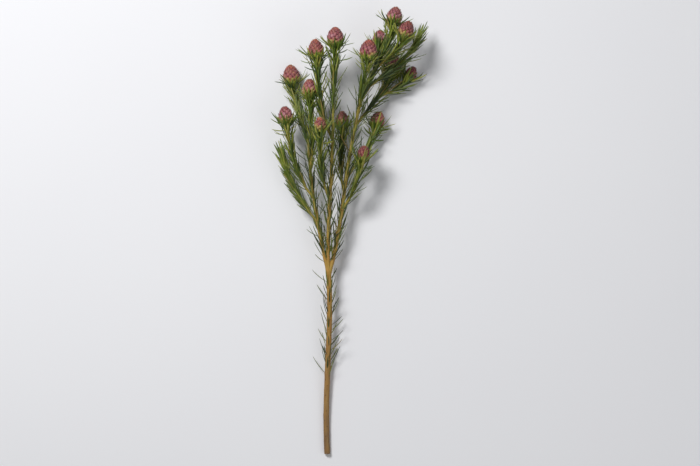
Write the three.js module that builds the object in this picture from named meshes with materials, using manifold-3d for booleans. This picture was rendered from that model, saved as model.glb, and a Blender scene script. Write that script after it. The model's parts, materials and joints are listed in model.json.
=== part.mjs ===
// A cut leucadendron stem, laid down on a flat surface: a woody stem that forks into three limbs,
// the leafy shoots that grow from them, and a scaly cone at the end of each flowering shoot.
// Millimetres, +Z up, the cut end towards -Y. The needles are fewer than on a living stem and at
// their true size.
import * as THREE from "three";
import { mergeVertices } from "three/addons/utils/BufferGeometryUtils.js";
import Module from "manifold-3d";

const wasm = await Module();
wasm.setup();

const { degToRad, lerp, clamp, seededRandom } = THREE.MathUtils;
const place = (x, y, z) => new THREE.Vector3(x, y, z);
const goldenAngle = degToRad(137.508);

// Driving dimensions of the wood
const seatGap = 0.3; // left between a piece and what carries it
const flatDepth = 0.35; // how much of the cut end's underside is flattened by the surface
const coneFlatDepth = 0.8; // the same for the scale tips of a cone that lies on it
const cutRadius = 4;
const twigRadius = 1.8; // a limb's end, where its last shoot begins
const shootRadius = 1.6;
const shootTipRadius = 1.3;
const receptacleRadius = 2.8; // the knob that a cone sits on
const receptacleLength = 5;
const collarGrowth = 1.15; // a shoot's collar on its parent is this much wider than the shoot
const leavingAngle = degToRad(34); // between a side shoot's first stretch and its parent
const knotGrowth = 1.25; // the knot at the fork is this much wider than the trunk below it

// Driving dimensions of the cones
const coneSlenderness = 1.1; // a cone's length for each unit of width
const coneWidest = 0.42; // share of the length where it is widest
const coneFullness = 0.46; // under 1 is plumper than a sine curve
const scaleLift = 1.3; // how far a scale's tip stands off the cone's body
const scaleShares = [0.02, 0.985]; // the shares of the length between which the scales grow
const scaleCrown = 0.74; // a tip's place between its diamond's lowest and highest corner
const youngConeWidth = 20.5; // cones narrower than this have fewer, broader scales
const youngCone = { spirals: [5, 8], scales: 42, turn: goldenAngle }; // the spirals each way
const grownCone = { spirals: [7, 11], scales: 66, turn: degToRad(99.502) };

// Driving dimensions of the needles
const needleWidth = 1.7;
const needleWidest = 0.4; // share of the length where it is widest
const needleLengths = [21, 29];
const needleClearance = 0.3; // kept to every other piece
const rootDepth = 0.6; // share of the wood's radius that a needle's root is sunk
const needleBends = [1.25, 0.7]; // its lean in its lower and upper half, as multiples of its lean
const involucreCount = 6; // needles that stand round each cone
const involucreSpread = [0, 7]; // how far they open out
const involucreReach = [0.65, 0.95]; // the share of the cone's length that they reach
const involucreOff = [0.8, 2]; // their distance from the cone, halfway up and at the tip
const rayCount = 3; // needles that stand out from the shoot under each cone
const rayLeans = [degToRad(40), degToRad(72)];
const rayLengths = [16, 23];
const youngLean = degToRad(13); // between a needle and its shoot
const oldLean = degToRad(17); // the same at the foot of a shoot
const woodLean = degToRad(22); // the same on old wood, where needles have spread
const strayEvery = 5; // each needle of this number stands out from the others
const strayLean = 2.4; // its lean, as a multiple of theirs
const shootSpacing = 4.6; // between successive needles on a shoot
const woodSpacing = 6;
const shootLeafyFrom = 0.06; // share of a shoot's length where its needles begin
const shootLeafyTo = 0.98; // share of the length below its knob where they end
const woodLeafyTo = 0.97;

// What is tried in turn until a needle is clear: factors of its lean, and degrees aside
const leanFactors = [1, 1.35, 0.7, 1.7, 0.45];
const needleAsides = [0, 14, -14, 28, -28];
const involucreAsides = [0, 16, -16, 32, -32];

// Facets round the pieces, and steps along them
const trunkFacets = { sides: 8, steps: 12 };
const limbFacets = { sides: 7, steps: 10 };
const shootFacets = { sides: 6, steps: 9 };
const collarSides = 7;
const needleSides = 3;
const knotFacets = [8, 5];

// The woody axes: two ends and two handles of a cubic curve, the radius at each end, and the
// share of the length where the needles begin.
const fork = place(2, 240, 24);
const wood = {
  trunk: {
    path: [place(0, 0, cutRadius - flatDepth), place(-5, 85, cutRadius - flatDepth), place(7, 165, 17), fork],
    radii: [cutRadius, 3.4],
    leafyFrom: 0.42,
  },
  left_limb: {
    path: [fork, place(-9, 285, 27), place(-20, 340, 33), place(-24, 402, 32)],
    radii: [2.5, twigRadius],
    leafyFrom: 0.1,
  },
  middle_limb: {
    path: [fork, place(-1, 300, 33), place(8, 370, 58), place(8, 440, 64)],
    radii: [2.6, twigRadius],
    leafyFrom: 0.1,
  },
  right_limb: {
    path: [fork, place(21, 295, 26), place(21, 370, 38), place(42, 455, 42)],
    radii: [2.8, twigRadius],
    leafyFrom: 0.1,
  },
};

// The leafy shoots: what each grows from and at which share of its parent's length, where its tip
// is and how wide its cone is, scale tips included. A shoot with no cone is barren. A cone that
// rests lies on the surface.
const shoots = {
  left_1: { parent: "left_limb", share: 1, tip: place(-46, 490, 0), coneWidth: 23, rests: true },
  left_2: { parent: "left_limb", share: 0.62, tip: place(-52, 436, 46), coneWidth: 20 },
  left_3: { parent: "left_limb", share: 0.86, tip: place(-22, 470, 52), coneWidth: 21 },
  left_4: { parent: "left_limb", share: 0.42, tip: place(-58, 392, 18) },
  middle_1: { parent: "middle_limb", share: 1, tip: place(11, 534, 70), coneWidth: 22.5 },
  middle_2: { parent: "middle_limb", share: 0.88, tip: place(-13, 520, 62), coneWidth: 21.5 },
  middle_3: { parent: "middle_limb", share: 0.5, tip: place(-8, 424, 80), coneWidth: 16 },
  right_1: { parent: "right_limb", share: 1, tip: place(86, 564, 50), coneWidth: 21.5 },
  right_2: { parent: "right_1", share: 0.5, tip: place(99, 545, 68), coneWidth: 21 },
  right_3: { parent: "right_1", share: 0.4, tip: place(68, 538, 30), coneWidth: 20 },
  right_4: { parent: "right_limb", share: 0.95, tip: place(53, 517, 68), coneWidth: 23.5 },
  right_5: { parent: "right_limb", share: 0.9, tip: place(84, 506, 0), coneWidth: 21.5, rests: true },
  right_6: { parent: "right_5", share: 0.55, tip: place(106, 496, 14), coneWidth: 17 },
  right_7: { parent: "right_limb", share: 0.58, tip: place(64, 432, 16), coneWidth: 20 },
  right_8: { parent: "right_limb", share: 0.4, tip: place(46, 388, 52), coneWidth: 17 },
  right_9: { parent: "right_limb", share: 0.5, tip: place(20, 432, 24), coneWidth: 19 },
  right_10: { parent: "right_1", share: 0.25, tip: place(119, 548, 34) },
};

// Colours
const woodColour = new THREE.MeshStandardMaterial({ color: 0x8a7440, roughness: 0.75, metalness: 0 });
const leafColour = new THREE.MeshStandardMaterial({ color: 0x5a7334, roughness: 0.6, metalness: 0 });
const coneColour = new THREE.MeshStandardMaterial({ color: 0xa55c66, roughness: 0.65, metalness: 0 });

// Geometry helpers

// A closed geometry as a solid that can be joined and cut.
function solidOf(geometry) {
  for (const name of Object.keys(geometry.attributes)) {
    if (name !== "position") geometry.deleteAttribute(name);
  }
  const merged = mergeVertices(geometry, 1e-4);
  const vertProperties = new Float32Array(merged.attributes.position.array);
  const triVerts = new Uint32Array(merged.index.array);
  return new wasm.Manifold(new wasm.Mesh({ numProp: 3, vertProperties, triVerts }));
}

function geometryOf(solid) {
  const { vertProperties, triVerts } = solid.getMesh();
  const geometry = new THREE.BufferGeometry();
  geometry.setAttribute("position", new THREE.BufferAttribute(vertProperties, 3));
  geometry.setIndex(new THREE.BufferAttribute(triVerts, 1));
  geometry.computeVertexNormals();
  return geometry;
}

// A lathe's profile, given as [share of the length, radius], turned round a curve.
function turnedAlong(curve, profile, sides) {
  const frameCount = 48;
  const frames = curve.computeFrenetFrames(frameCount, false);
  const outline = profile.map(([share, radius]) => new THREE.Vector2(radius, share));
  const geometry = new THREE.LatheGeometry(outline, sides);
  const position = geometry.attributes.position;
  for (let i = 0; i < position.count; i++) {
    const share = clamp(position.getY(i), 0, 1);
    const frame = Math.round(share * frameCount);
    const point = curve
      .getPointAt(share)
      .addScaledVector(frames.binormals[frame], position.getX(i))
      .addScaledVector(frames.normals[frame], position.getZ(i));
    position.setXYZ(i, point.x, point.y, point.z);
  }
  return solidOf(geometry);
}

// A round bar along a curve, with a radius for each share of its length.
function barAlong(curve, radiusAt, sides, steps) {
  const profile = [[0, 0]];
  for (let i = 0; i <= steps; i++) profile.push([i / steps, radiusAt(i / steps)]);
  profile.push([1, 0]);
  return turnedAlong(curve, profile, sides);
}

// The nearest distance between the segments a-b and c-d.
function segmentDistance(a, b, c, d) {
  const u = b.clone().sub(a);
  const v = d.clone().sub(c);
  const w = a.clone().sub(c);
  const uu = u.dot(u);
  const uv = u.dot(v);
  const vv = v.dot(v);
  const spread = uu * vv - uv * uv;
  let s = spread > 1e-9 ? clamp((uv * v.dot(w) - vv * u.dot(w)) / spread, 0, 1) : 0;
  const t = clamp((uv * s + v.dot(w)) / vv, 0, 1);
  s = clamp((uv * t - u.dot(w)) / uu, 0, 1);
  return w.addScaledVector(u, s).addScaledVector(v, -t).length();
}

// The axes: every woody axis and shoot as a curve with its radius at each share

const axes = {};
const collars = []; // short stubs on a parent that a side shoot meets face to face

for (const [name, { path, radii }] of Object.entries(wood)) {
  axes[name] = {
    node: "stem",
    curve: new THREE.CubicBezierCurve3(...path),
    radiusAt: (share) => lerp(radii[0], radii[1], share),
  };
}

function coneRadiusAt(share, width) {
  const power = Math.log(0.5) / Math.log(coneWidest);
  return (width / 2 - scaleLift) * Math.sin(Math.PI * clamp(share, 0, 1) ** power) ** coneFullness;
}

function addShoot(name, { parent, share, tip, coneWidth, rests }) {
  const host = axes[parent];
  const onAxis = host.curve.getPointAt(share);
  const along = host.curve.getTangentAt(share);
  const end = tip.clone();
  if (rests) end.z = coneWidth / 2 - coneFlatDepth;
  const outward = end.clone().sub(onAxis);
  outward.addScaledVector(along, -outward.dot(along)).normalize();
  const hostRadius = host.radiusAt(share);
  let leaving = along.clone();
  let start = onAxis.clone().addScaledVector(along, seatGap);
  if (share < 1) {
    leaving.multiplyScalar(Math.cos(leavingAngle)).addScaledVector(outward, Math.sin(leavingAngle));
    const reach = (hostRadius + seatGap + shootRadius) / Math.sin(leavingAngle);
    start = onAxis.clone().addScaledVector(leaving, reach);
    const stub = new THREE.LineCurve3(onAxis, start.clone().addScaledVector(leaving, -seatGap));
    collars.push({ node: host.node, curve: stub, radius: shootRadius * collarGrowth });
  }
  const reach = end.distanceTo(start);
  const heading = end.clone().sub(start).normalize().add(place(0, 1, 0)).normalize();
  if (rests) heading.setZ(0).normalize();
  const curve = new THREE.CubicBezierCurve3(
    start,
    start.clone().addScaledVector(leaving, reach / 3),
    end.clone().addScaledVector(heading, -reach / 3),
    end,
  );
  const knobShare = coneWidth ? 1 - receptacleLength / curve.getLength() : 1;
  const radiusAt = (t) =>
    t <= knobShare
      ? lerp(shootRadius, shootTipRadius, t / knobShare)
      : lerp(shootTipRadius, receptacleRadius, (t - knobShare) / (1 - knobShare));
  axes[name] = { node: "shoot_" + name, curve, radiusAt, heading, coneWidth, knobShare };
}

for (const [name, shoot] of Object.entries(shoots)) addShoot(name, shoot);

// Cones: diamond scales in two sets of crossing spirals

// Local frame of a cone: its base on the receptacle, its axis along the shoot's heading.
function coneFrame(axis) {
  const up = axis.heading;
  const side = new THREE.Vector3().crossVectors(up, place(0, 0, 1)).normalize();
  const front = new THREE.Vector3().crossVectors(side, up);
  const base = axis.curve.getPointAt(1).addScaledVector(up, seatGap);
  return { base, up, side, front, width: axis.coneWidth, length: axis.coneWidth * coneSlenderness };
}

// A point of a cone by its share of the length, its turn round the axis and its lift off the profile.
function onCone(frame, share, turn, lift) {
  const radius = coneRadiusAt(share, frame.width) + lift;
  return frame.base
    .clone()
    .addScaledVector(frame.up, share * frame.length)
    .addScaledVector(frame.side, radius * Math.cos(turn))
    .addScaledVector(frame.front, radius * Math.sin(turn));
}

// Shares of the length at equal steps of distance over radius, so that scales keep their shape.
function evenShares(frame, firstShare, lastShare, count) {
  const samples = 400;
  const reached = [0];
  for (let i = 1; i <= samples; i++) {
    const a = lerp(firstShare, lastShare, (i - 1) / samples);
    const b = lerp(firstShare, lastShare, i / samples);
    const rise = (b - a) * frame.length;
    const run = coneRadiusAt(b, frame.width) - coneRadiusAt(a, frame.width);
    const middle = coneRadiusAt((a + b) / 2, frame.width);
    reached.push(reached[i - 1] + Math.hypot(rise, run) / middle);
  }
  return (step) => {
    const wanted = (clamp(step, 0, count) / count) * reached[samples];
    let i = 1;
    while (i < samples && reached[i] < wanted) i++;
    const part = (wanted - reached[i - 1]) / (reached[i] - reached[i - 1]);
    return lerp(firstShare, lastShare, (i - 1 + part) / samples);
  };
}

// An angle between minus and plus half a turn.
const wrapped = (angle) => angle - 2 * Math.PI * Math.round(angle / (2 * Math.PI));

function coneSolid(axis) {
  const frame = coneFrame(axis);
  const { spirals, scales, turn } = frame.width < youngConeWidth ? youngCone : grownCone;
  const [few, many] = spirals;
  const last = scales + few + many;
  const shareAt = evenShares(frame, ...scaleShares, last - 1);
  const points = [];
  const triangles = [];
  const corner = (i) => onCone(frame, shareAt(i), i * turn, 0);
  for (let i = 0; i < last; i++) points.push(corner(i));
  const turnAcross = wrapped((few + many) * turn);
  for (let i = 0; i < scales; i++) {
    const share = shareAt(i + scaleCrown * (few + many));
    const tip = points.length;
    points.push(onCone(frame, share, i * turn + scaleCrown * turnAcross, scaleLift));
    const ring = [i, i + few, i + few + many, i + many];
    ring.forEach((from, k) => triangles.push(from, ring[(k + 1) % 4], tip));
  }
  const bottom = points.push(frame.base.clone()) - 1;
  const top = points.push(onCone(frame, 1, 0, 0)) - 1;
  for (let i = 0; i < many; i++) triangles.push(i + few, i, bottom);
  for (let i = 0; i < few; i++) triangles.push(i, i + many, bottom);
  for (let i = scales; i < scales + few; i++) triangles.push(i + many, i, top);
  for (let i = scales; i < scales + many; i++) triangles.push(i, i + few, top);
  // The fewer spirals turn left on some cones and right on others, which turns the faces too.
  if (wrapped(few * turn) > 0) triangles.reverse();
  const geometry = new THREE.BufferGeometry().setFromPoints(points);
  geometry.setIndex(triangles);
  return solidOf(geometry);
}

const cones = Object.fromEntries(
  Object.entries(axes)
    .filter(([, axis]) => axis.coneWidth)
    .map(([name, axis]) => [name, coneFrame(axis)]),
);

// What a needle keeps clear of: bars of other pieces, cones and the surface

const bars = []; // { node, from, to, radius, isNeedle }

function addBars(node, curve, radiusAt, count, isNeedle = false) {
  const points = curve.getSpacedPoints(count);
  for (let i = 0; i < count; i++) {
    bars.push({ node, from: points[i], to: points[i + 1], radius: radiusAt((i + 0.5) / count), isNeedle });
  }
}

for (const axis of Object.values(axes)) addBars(axis.node, axis.curve, axis.radiusAt, 12);
for (const collar of collars) addBars(collar.node, collar.curve, () => collar.radius, 1);

function clearOfCones(point, radius) {
  return Object.values(cones).every((frame) => {
    const from = point.clone().sub(frame.base);
    const share = from.dot(frame.up) / frame.length;
    if (share < -0.12 || share > 1.12) return true;
    const off = Math.sqrt(Math.max(0, from.lengthSq() - (share * frame.length) ** 2));
    return off > coneRadiusAt(share, frame.width) + scaleLift + radius + needleClearance;
  });
}

// A needle is fused to its own node's wood, and there it only keeps off the other needles.
function needleIsClear(points, node, rootPoints) {
  const radius = needleWidth / 2;
  if (points.some((point) => point.z < radius + needleClearance)) return false;
  if (!points.slice(rootPoints).every((point) => clearOfCones(point, radius))) return false;
  for (let i = 1; i < points.length; i++) {
    const [a, b] = [points[i - 1], points[i]];
    const reach = a.distanceTo(b);
    for (const bar of bars) {
      if (bar.node === node && (!bar.isNeedle || i <= rootPoints)) continue;
      const room = radius + bar.radius + needleClearance;
      if (a.distanceTo(bar.from) > reach + room + bar.from.distanceTo(bar.to)) continue;
      if (segmentDistance(a, b, bar.from, bar.to) < room) return false;
    }
  }
  return true;
}

// Needles

// Three-sided, narrow at the root that is sunk in the wood, widest below the middle, sharp at the tip.
function needleSolid(curve) {
  return turnedAlong(curve, [[0, 0], [needleWidest, needleWidth / 2], [1, 0]], needleSides);
}

// Longer lasting in its width, because it bends round the cone.
function involucreSolid(curve) {
  const half = needleWidth / 2;
  return turnedAlong(curve, [[0, 0], [0.24, half], [0.6, half], [1, 0]], needleSides);
}

// Tries a needle in its own place, then turned aside or leaned more or less, until it is clear.
function growNeedle(axis, share, turn, lean, length) {
  const root = axis.curve.getPointAt(share);
  const along = axis.curve.getTangentAt(share);
  const side = new THREE.Vector3().crossVectors(along, place(0, 0, 1)).normalize();
  const front = new THREE.Vector3().crossVectors(side, along);
  const rootRadius = axis.radiusAt(share);
  for (const leanFactor of leanFactors) {
    for (const aside of needleAsides) {
      const angle = turn + degToRad(aside);
      const out = side.clone().multiplyScalar(Math.cos(angle)).addScaledVector(front, Math.sin(angle));
      const direction = (tilt) =>
        along.clone().multiplyScalar(Math.cos(tilt)).addScaledVector(out, Math.sin(tilt));
      const start = root.clone().addScaledVector(out, -rootRadius * rootDepth);
      const bend = start.clone().addScaledVector(direction(lean * leanFactor * needleBends[0]), length / 2);
      const end = bend.clone().addScaledVector(direction(lean * leanFactor * needleBends[1]), length / 2);
      const curve = new THREE.QuadraticBezierCurve3(start, bend, end);
      const points = curve.getSpacedPoints(6);
      if (!needleIsClear(points, axis.node, 2)) continue;
      addBars(axis.node, curve, () => needleWidth / 2, 4, true);
      return needleSolid(curve);
    }
  }
  return null;
}

// Needles in a spiral along an axis, between two shares of its length.
function needlesAlong(axis, fromShare, toShare, spacing, leanAt) {
  const length = axis.curve.getLength();
  const count = Math.floor(((toShare - fromShare) * length) / spacing);
  const grown = [];
  for (let i = 0; i < count; i++) {
    const share = lerp(fromShare, toShare, (i + 0.5) / count);
    const needleLength = lerp(...needleLengths, seededRandom());
    const lean = leanAt(share) * lerp(0.85, 1.15, seededRandom()) * (i % strayEvery ? 1 : strayLean);
    const needle = growNeedle(axis, share, i * goldenAngle, lean, needleLength);
    if (needle) grown.push(needle);
  }
  return grown;
}

// The needles that spring from just below a cone: some stand straight out, the others curve up
// beside it.
function involucre(name) {
  const axis = axes[name];
  const frame = cones[name];
  const radius = frame.width / 2;
  const grown = [];
  for (let i = 0; i < rayCount; i++) {
    const [lean, length] = [lerp(...rayLeans, seededRandom()), lerp(...rayLengths, seededRandom())];
    const turn = ((i + 0.5) * 2 * Math.PI) / rayCount + frame.width;
    const ray = growNeedle(axis, axis.knobShare, turn, lean, length);
    if (ray) grown.push(ray);
  }
  for (let i = 0; i < involucreCount; i++) {
    const spread = lerp(...involucreSpread, seededRandom());
    for (const aside of involucreAsides) {
      const turn = (i * 2 * Math.PI) / involucreCount + frame.width + degToRad(aside);
      const at = (share, distance) => onCone(frame, share, turn, distance - coneRadiusAt(share, frame.width));
      const curve = new THREE.CatmullRomCurve3([
        frame.base.clone().addScaledVector(frame.up, -receptacleLength * 1.2),
        at(-0.02, radius * 0.88),
        at(0.36, radius + needleWidth + involucreOff[0] + spread / 2),
        at(lerp(...involucreReach, seededRandom()), radius + needleWidth + involucreOff[1] + spread),
      ]);
      const points = curve.getSpacedPoints(8);
      if (!needleIsClear(points, axis.node, 3)) continue;
      addBars(axis.node, curve, () => needleWidth / 2, 5, true);
      grown.push(involucreSolid(curve));
      break;
    }
  }
  return grown;
}

// Everything joined, node by node

// The surface that the stem lies on, as a slab to trim what would sink into it.
const slab = new THREE.BoxGeometry(2000, 2000, 20).translate(0, 0, -10);
const surface = solidOf(slab);

const collarSolid = ({ curve, radius }) => barAlong(curve, () => radius, collarSides, 1);
const collarsOf = (node) => collars.filter((collar) => collar.node === node).map(collarSolid);

seededRandom(7);

const stemParts = [];
for (const [name, { leafyFrom }] of Object.entries(wood)) {
  const axis = axes[name];
  const { sides, steps } = name === "trunk" ? trunkFacets : limbFacets;
  stemParts.push(barAlong(axis.curve, axis.radiusAt, sides, steps));
  stemParts.push(...needlesAlong(axis, leafyFrom, woodLeafyTo, woodSpacing, () => woodLean));
}
const knot = new THREE.SphereGeometry(wood.trunk.radii[1] * knotGrowth, ...knotFacets);
knot.translate(...fork.toArray());
const stem = wasm.Manifold.union([...stemParts, ...collarsOf("stem"), solidOf(knot)]);

const part = new THREE.Group();

function addNode(name, solid, material) {
  const mesh = new THREE.Mesh(geometryOf(solid.subtract(surface)), material);
  mesh.name = name;
  part.add(mesh);
}

addNode("stem", stem, woodColour);

for (const name of Object.keys(shoots)) {
  const axis = axes[name];
  const pieces = [barAlong(axis.curve, axis.radiusAt, shootFacets.sides, shootFacets.steps)];
  if (axis.coneWidth) pieces.push(...involucre(name));
  const leanAt = (share) => lerp(oldLean, youngLean, share);
  pieces.push(...needlesAlong(axis, shootLeafyFrom, axis.knobShare * shootLeafyTo, shootSpacing, leanAt));
  pieces.push(...collarsOf(axis.node));
  addNode(axis.node, wasm.Manifold.union(pieces), leafColour);
  if (axis.coneWidth) addNode("cone_" + name, coneSolid(axis), coneColour);
}

// The origin is the middle of the foot of the whole stem's box.
const box = new THREE.Box3().setFromObject(part);
part.position.set(-(box.min.x + box.max.x) / 2, -(box.min.y + box.max.y) / 2, -box.min.z);

export default part;
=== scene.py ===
import bisect
import json
import random
from math import atan2, cos, exp, hypot, log, pi, radians, sin, sqrt

import bmesh
import bpy
from mathutils import Matrix, Quaternion, Vector, noise
from mathutils.geometry import interpolate_bezier
from mathutils.kdtree import KDTree

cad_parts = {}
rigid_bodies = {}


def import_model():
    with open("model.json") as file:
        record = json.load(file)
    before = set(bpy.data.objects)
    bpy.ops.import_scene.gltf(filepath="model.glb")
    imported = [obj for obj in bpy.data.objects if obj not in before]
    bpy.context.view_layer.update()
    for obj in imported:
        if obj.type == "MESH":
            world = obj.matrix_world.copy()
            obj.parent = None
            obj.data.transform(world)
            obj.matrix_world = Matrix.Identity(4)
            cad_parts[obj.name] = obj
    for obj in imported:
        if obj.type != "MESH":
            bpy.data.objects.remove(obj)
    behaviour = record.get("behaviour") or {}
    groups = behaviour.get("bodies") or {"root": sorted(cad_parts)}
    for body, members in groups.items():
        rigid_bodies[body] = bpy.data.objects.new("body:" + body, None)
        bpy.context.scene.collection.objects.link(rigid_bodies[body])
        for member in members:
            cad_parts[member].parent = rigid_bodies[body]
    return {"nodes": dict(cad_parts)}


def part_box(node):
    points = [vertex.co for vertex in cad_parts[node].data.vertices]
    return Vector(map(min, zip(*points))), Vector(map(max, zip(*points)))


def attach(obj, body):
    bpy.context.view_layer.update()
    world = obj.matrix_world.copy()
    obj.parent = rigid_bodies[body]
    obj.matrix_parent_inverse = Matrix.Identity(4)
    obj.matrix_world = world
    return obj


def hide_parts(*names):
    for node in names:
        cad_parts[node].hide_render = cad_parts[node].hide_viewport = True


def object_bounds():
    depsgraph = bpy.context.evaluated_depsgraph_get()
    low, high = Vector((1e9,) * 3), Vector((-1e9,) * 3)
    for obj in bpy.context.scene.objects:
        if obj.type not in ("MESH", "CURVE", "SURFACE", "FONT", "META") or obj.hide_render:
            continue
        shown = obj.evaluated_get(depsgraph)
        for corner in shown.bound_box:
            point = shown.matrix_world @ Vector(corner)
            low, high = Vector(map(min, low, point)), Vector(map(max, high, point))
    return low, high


# A cut leucadendron stem, laid down: wood, leafy shoots and cones. It is laid out in millimetres
# (x to the right, y from the cut end to the tips, z up from the surface) and modelled in metres.

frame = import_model()
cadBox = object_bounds()
draw = random.Random(29)  # the only source of random numbers
mm = 0.001
goldenAngle = radians(137.508)
up = Vector((0, 0, 1))


def cutEndOfFrame():
    rimDepth = 0.6 * mm  # the cut face leans by less than this
    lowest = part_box("stem")[0].y
    rim = [v.co for v in frame["nodes"]["stem"].data.vertices if v.co.y < lowest + rimDepth]
    middle = [(min(co[i] for co in rim) + max(co[i] for co in rim)) / 2 for i in range(2)]
    return Vector((*middle, 0))


layoutOrigin = cutEndOfFrame()


def place(x, y, z):
    return layoutOrigin + Vector((x, y, z)) * mm


def lerp(a, b, share):
    return a + (b - a) * share


def clamp(value, low=0.0, high=1.0):
    return max(low, min(high, value))


def smooth(low, high, value):
    t = clamp((value - low) / (high - low))
    return t * t * (3 - 2 * t)


def wrapped(angle):
    return angle - 2 * pi * round(angle / (2 * pi))


# Layout: the wood and the shoots

# leafy: where the needles start, as a share of the length. spacing: from leaf to leaf. ages: of the
# bark at both ends, from 0 for old and brown to 1 for green.
fork = (2, 240, 24)
limbHabit = {"leafy": 0.08, "spacing": 2.1, "ages": (0.4, 0.7)}
wood = {
    "trunk": {"path": [(0, 0, 3.65), (-5, 85, 3.65), (7, 165, 17), fork], "radii": (4, 3.4),
              "leafy": 0.42, "spacing": 2.6, "ages": (0, 0.4)},
    "left_limb": {"path": [fork, (-9, 285, 27), (-20, 340, 33), (-24, 402, 32)], "radii": (2.5, 1.8),
                  **limbHabit},
    "middle_limb": {"path": [fork, (-1, 300, 33), (8, 370, 58), (8, 440, 64)], "radii": (2.6, 1.8),
                    **limbHabit},
    "right_limb": {"path": [fork, (21, 295, 26), (21, 370, 38), (42, 455, 42)], "radii": (2.8, 1.8),
                   **limbHabit},
}

# What a shoot grows from and how far up, its tip, and its cone's width and look, if it has a cone. A
# cone whose tip has no height lies on the surface.
# blush: 0 is pale mauve, 1 crimson. crown: how orange the top is. green: how far up the green goes.
# straw: how much of the scales is straw-coloured.
shootKeys = ("parent", "share", "tip", "coneWidth", "look")
lookKeys = ("blush", "crown", "green", "straw")
shootRows = {
    "left_1": ("left_limb", 1, (-46, 490, 0), 23, (0.55, 0.5, 0.35, 0.55)),
    "left_2": ("left_limb", 0.62, (-52, 436, 46), 20, (0.12, 0.15, 0.5, 0.2)),
    "left_3": ("left_limb", 0.86, (-22, 470, 52), 21, (0.3, 0.35, 0.75, 0.6)),
    "left_4": ("left_limb", 0.42, (-58, 392, 18)),
    "middle_1": ("middle_limb", 1, (11, 534, 70), 22.5, (0.35, 0.6, 0.4, 0.35)),
    "middle_2": ("middle_limb", 0.88, (-13, 520, 62), 21.5, (0.85, 0.6, 0.3, 0.6)),
    "middle_3": ("middle_limb", 0.5, (-8, 424, 80), 16, (0.7, 0.9, 0.7, 0.6)),
    "right_1": ("right_limb", 1, (86, 564, 50), 21.5, (0.2, 0.3, 0.6, 0.4)),
    "right_2": ("right_1", 0.5, (99, 545, 68), 21, (0.9, 0.35, 0.6, 0.3)),
    "right_3": ("right_1", 0.4, (68, 538, 30), 20, (0.05, 0.05, 0.5, 0.15)),
    "right_4": ("right_limb", 0.95, (53, 517, 68), 23.5, (0.45, 1, 0.45, 0.3)),
    "right_5": ("right_limb", 0.9, (84, 506, 0), 21.5, (0.2, 0.1, 0.4, 0.3)),
    "right_6": ("right_5", 0.55, (106, 496, 14), 17, (0.85, 0.1, 0.2, 0.1)),
    "right_7": ("right_limb", 0.58, (64, 432, 16), 20, (0.8, 0.4, 0.35, 0.65)),
    "right_8": ("right_limb", 0.4, (46, 388, 52), 17, (0.95, 0.3, 0.3, 0.35)),
    "right_9": ("right_limb", 0.5, (20, 432, 24), 19, (0.35, 0.15, 0.8, 0.5)),
    "right_10": ("right_1", 0.25, (119, 548, 34)),
}
shoots = {name: dict(zip(shootKeys, row)) for name, row in shootRows.items()}

shootShape = {
    "radius": 1.6,
    "tipRadius": 1.3,
    "knobRadius": 2.8,  # the knob that a cone sits on
    "knobLength": 5,
    "collarGrowth": 1.15,
    "leavingAngle": radians(34),
    "endAges": (0.7, 1),  # of a shoot that carries on a limb
    "sideAges": (0.62, 1),
    "seatGap": 0.3,  # in the frame; here the pieces reach into each other by seatDepth
    "seatDepth": 1.2,
    "coneFlat": 0.8,  # how far a resting cone's scale tips are pressed flat
}
axisPoints = 401  # on each axis


def makeAxis(ends, radiusAt=None):
    fine = interpolate_bezier(*ends, axisPoints)
    reached = [0.0]
    for a, b in zip(fine, fine[1:]):
        reached.append(reached[-1] + (b - a).length)
    return {"fine": fine, "reached": reached, "length": reached[-1], "radiusAt": radiusAt}


def spotOn(axis, share):
    wanted = clamp(share) * axis["length"]
    i = clamp(bisect.bisect_left(axis["reached"], wanted), 1, len(axis["fine"]) - 1)
    low, high = axis["reached"][i - 1], axis["reached"][i]
    return i, (wanted - low) / (high - low)


def pointAt(axis, share):
    i, part = spotOn(axis, share)
    return axis["fine"][i - 1].lerp(axis["fine"][i], part)


def directionAt(axis, share):
    i, _ = spotOn(axis, share)
    before, after = max(i - 2, 0), min(i + 1, len(axis["fine"]) - 1)
    return (axis["fine"][after] - axis["fine"][before]).normalized()


def crossOf(along):
    side = along.cross(up).normalized()
    return side, side.cross(along)


def crossAt(axis, share):
    along = directionAt(axis, share)
    return along, *crossOf(along)


def outAt(side, front, turn):
    return side * cos(turn) + front * sin(turn)


axes = {}
collars = []


def layWood():
    for name, limb in wood.items():
        first, last = limb["radii"]
        ends = [place(*p) for p in limb["path"]]
        axes[name] = makeAxis(ends, lambda share, a=first, b=last: lerp(a, b, share) * mm)
        axes[name].update(piece="wood", ages=limb["ages"])


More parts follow.
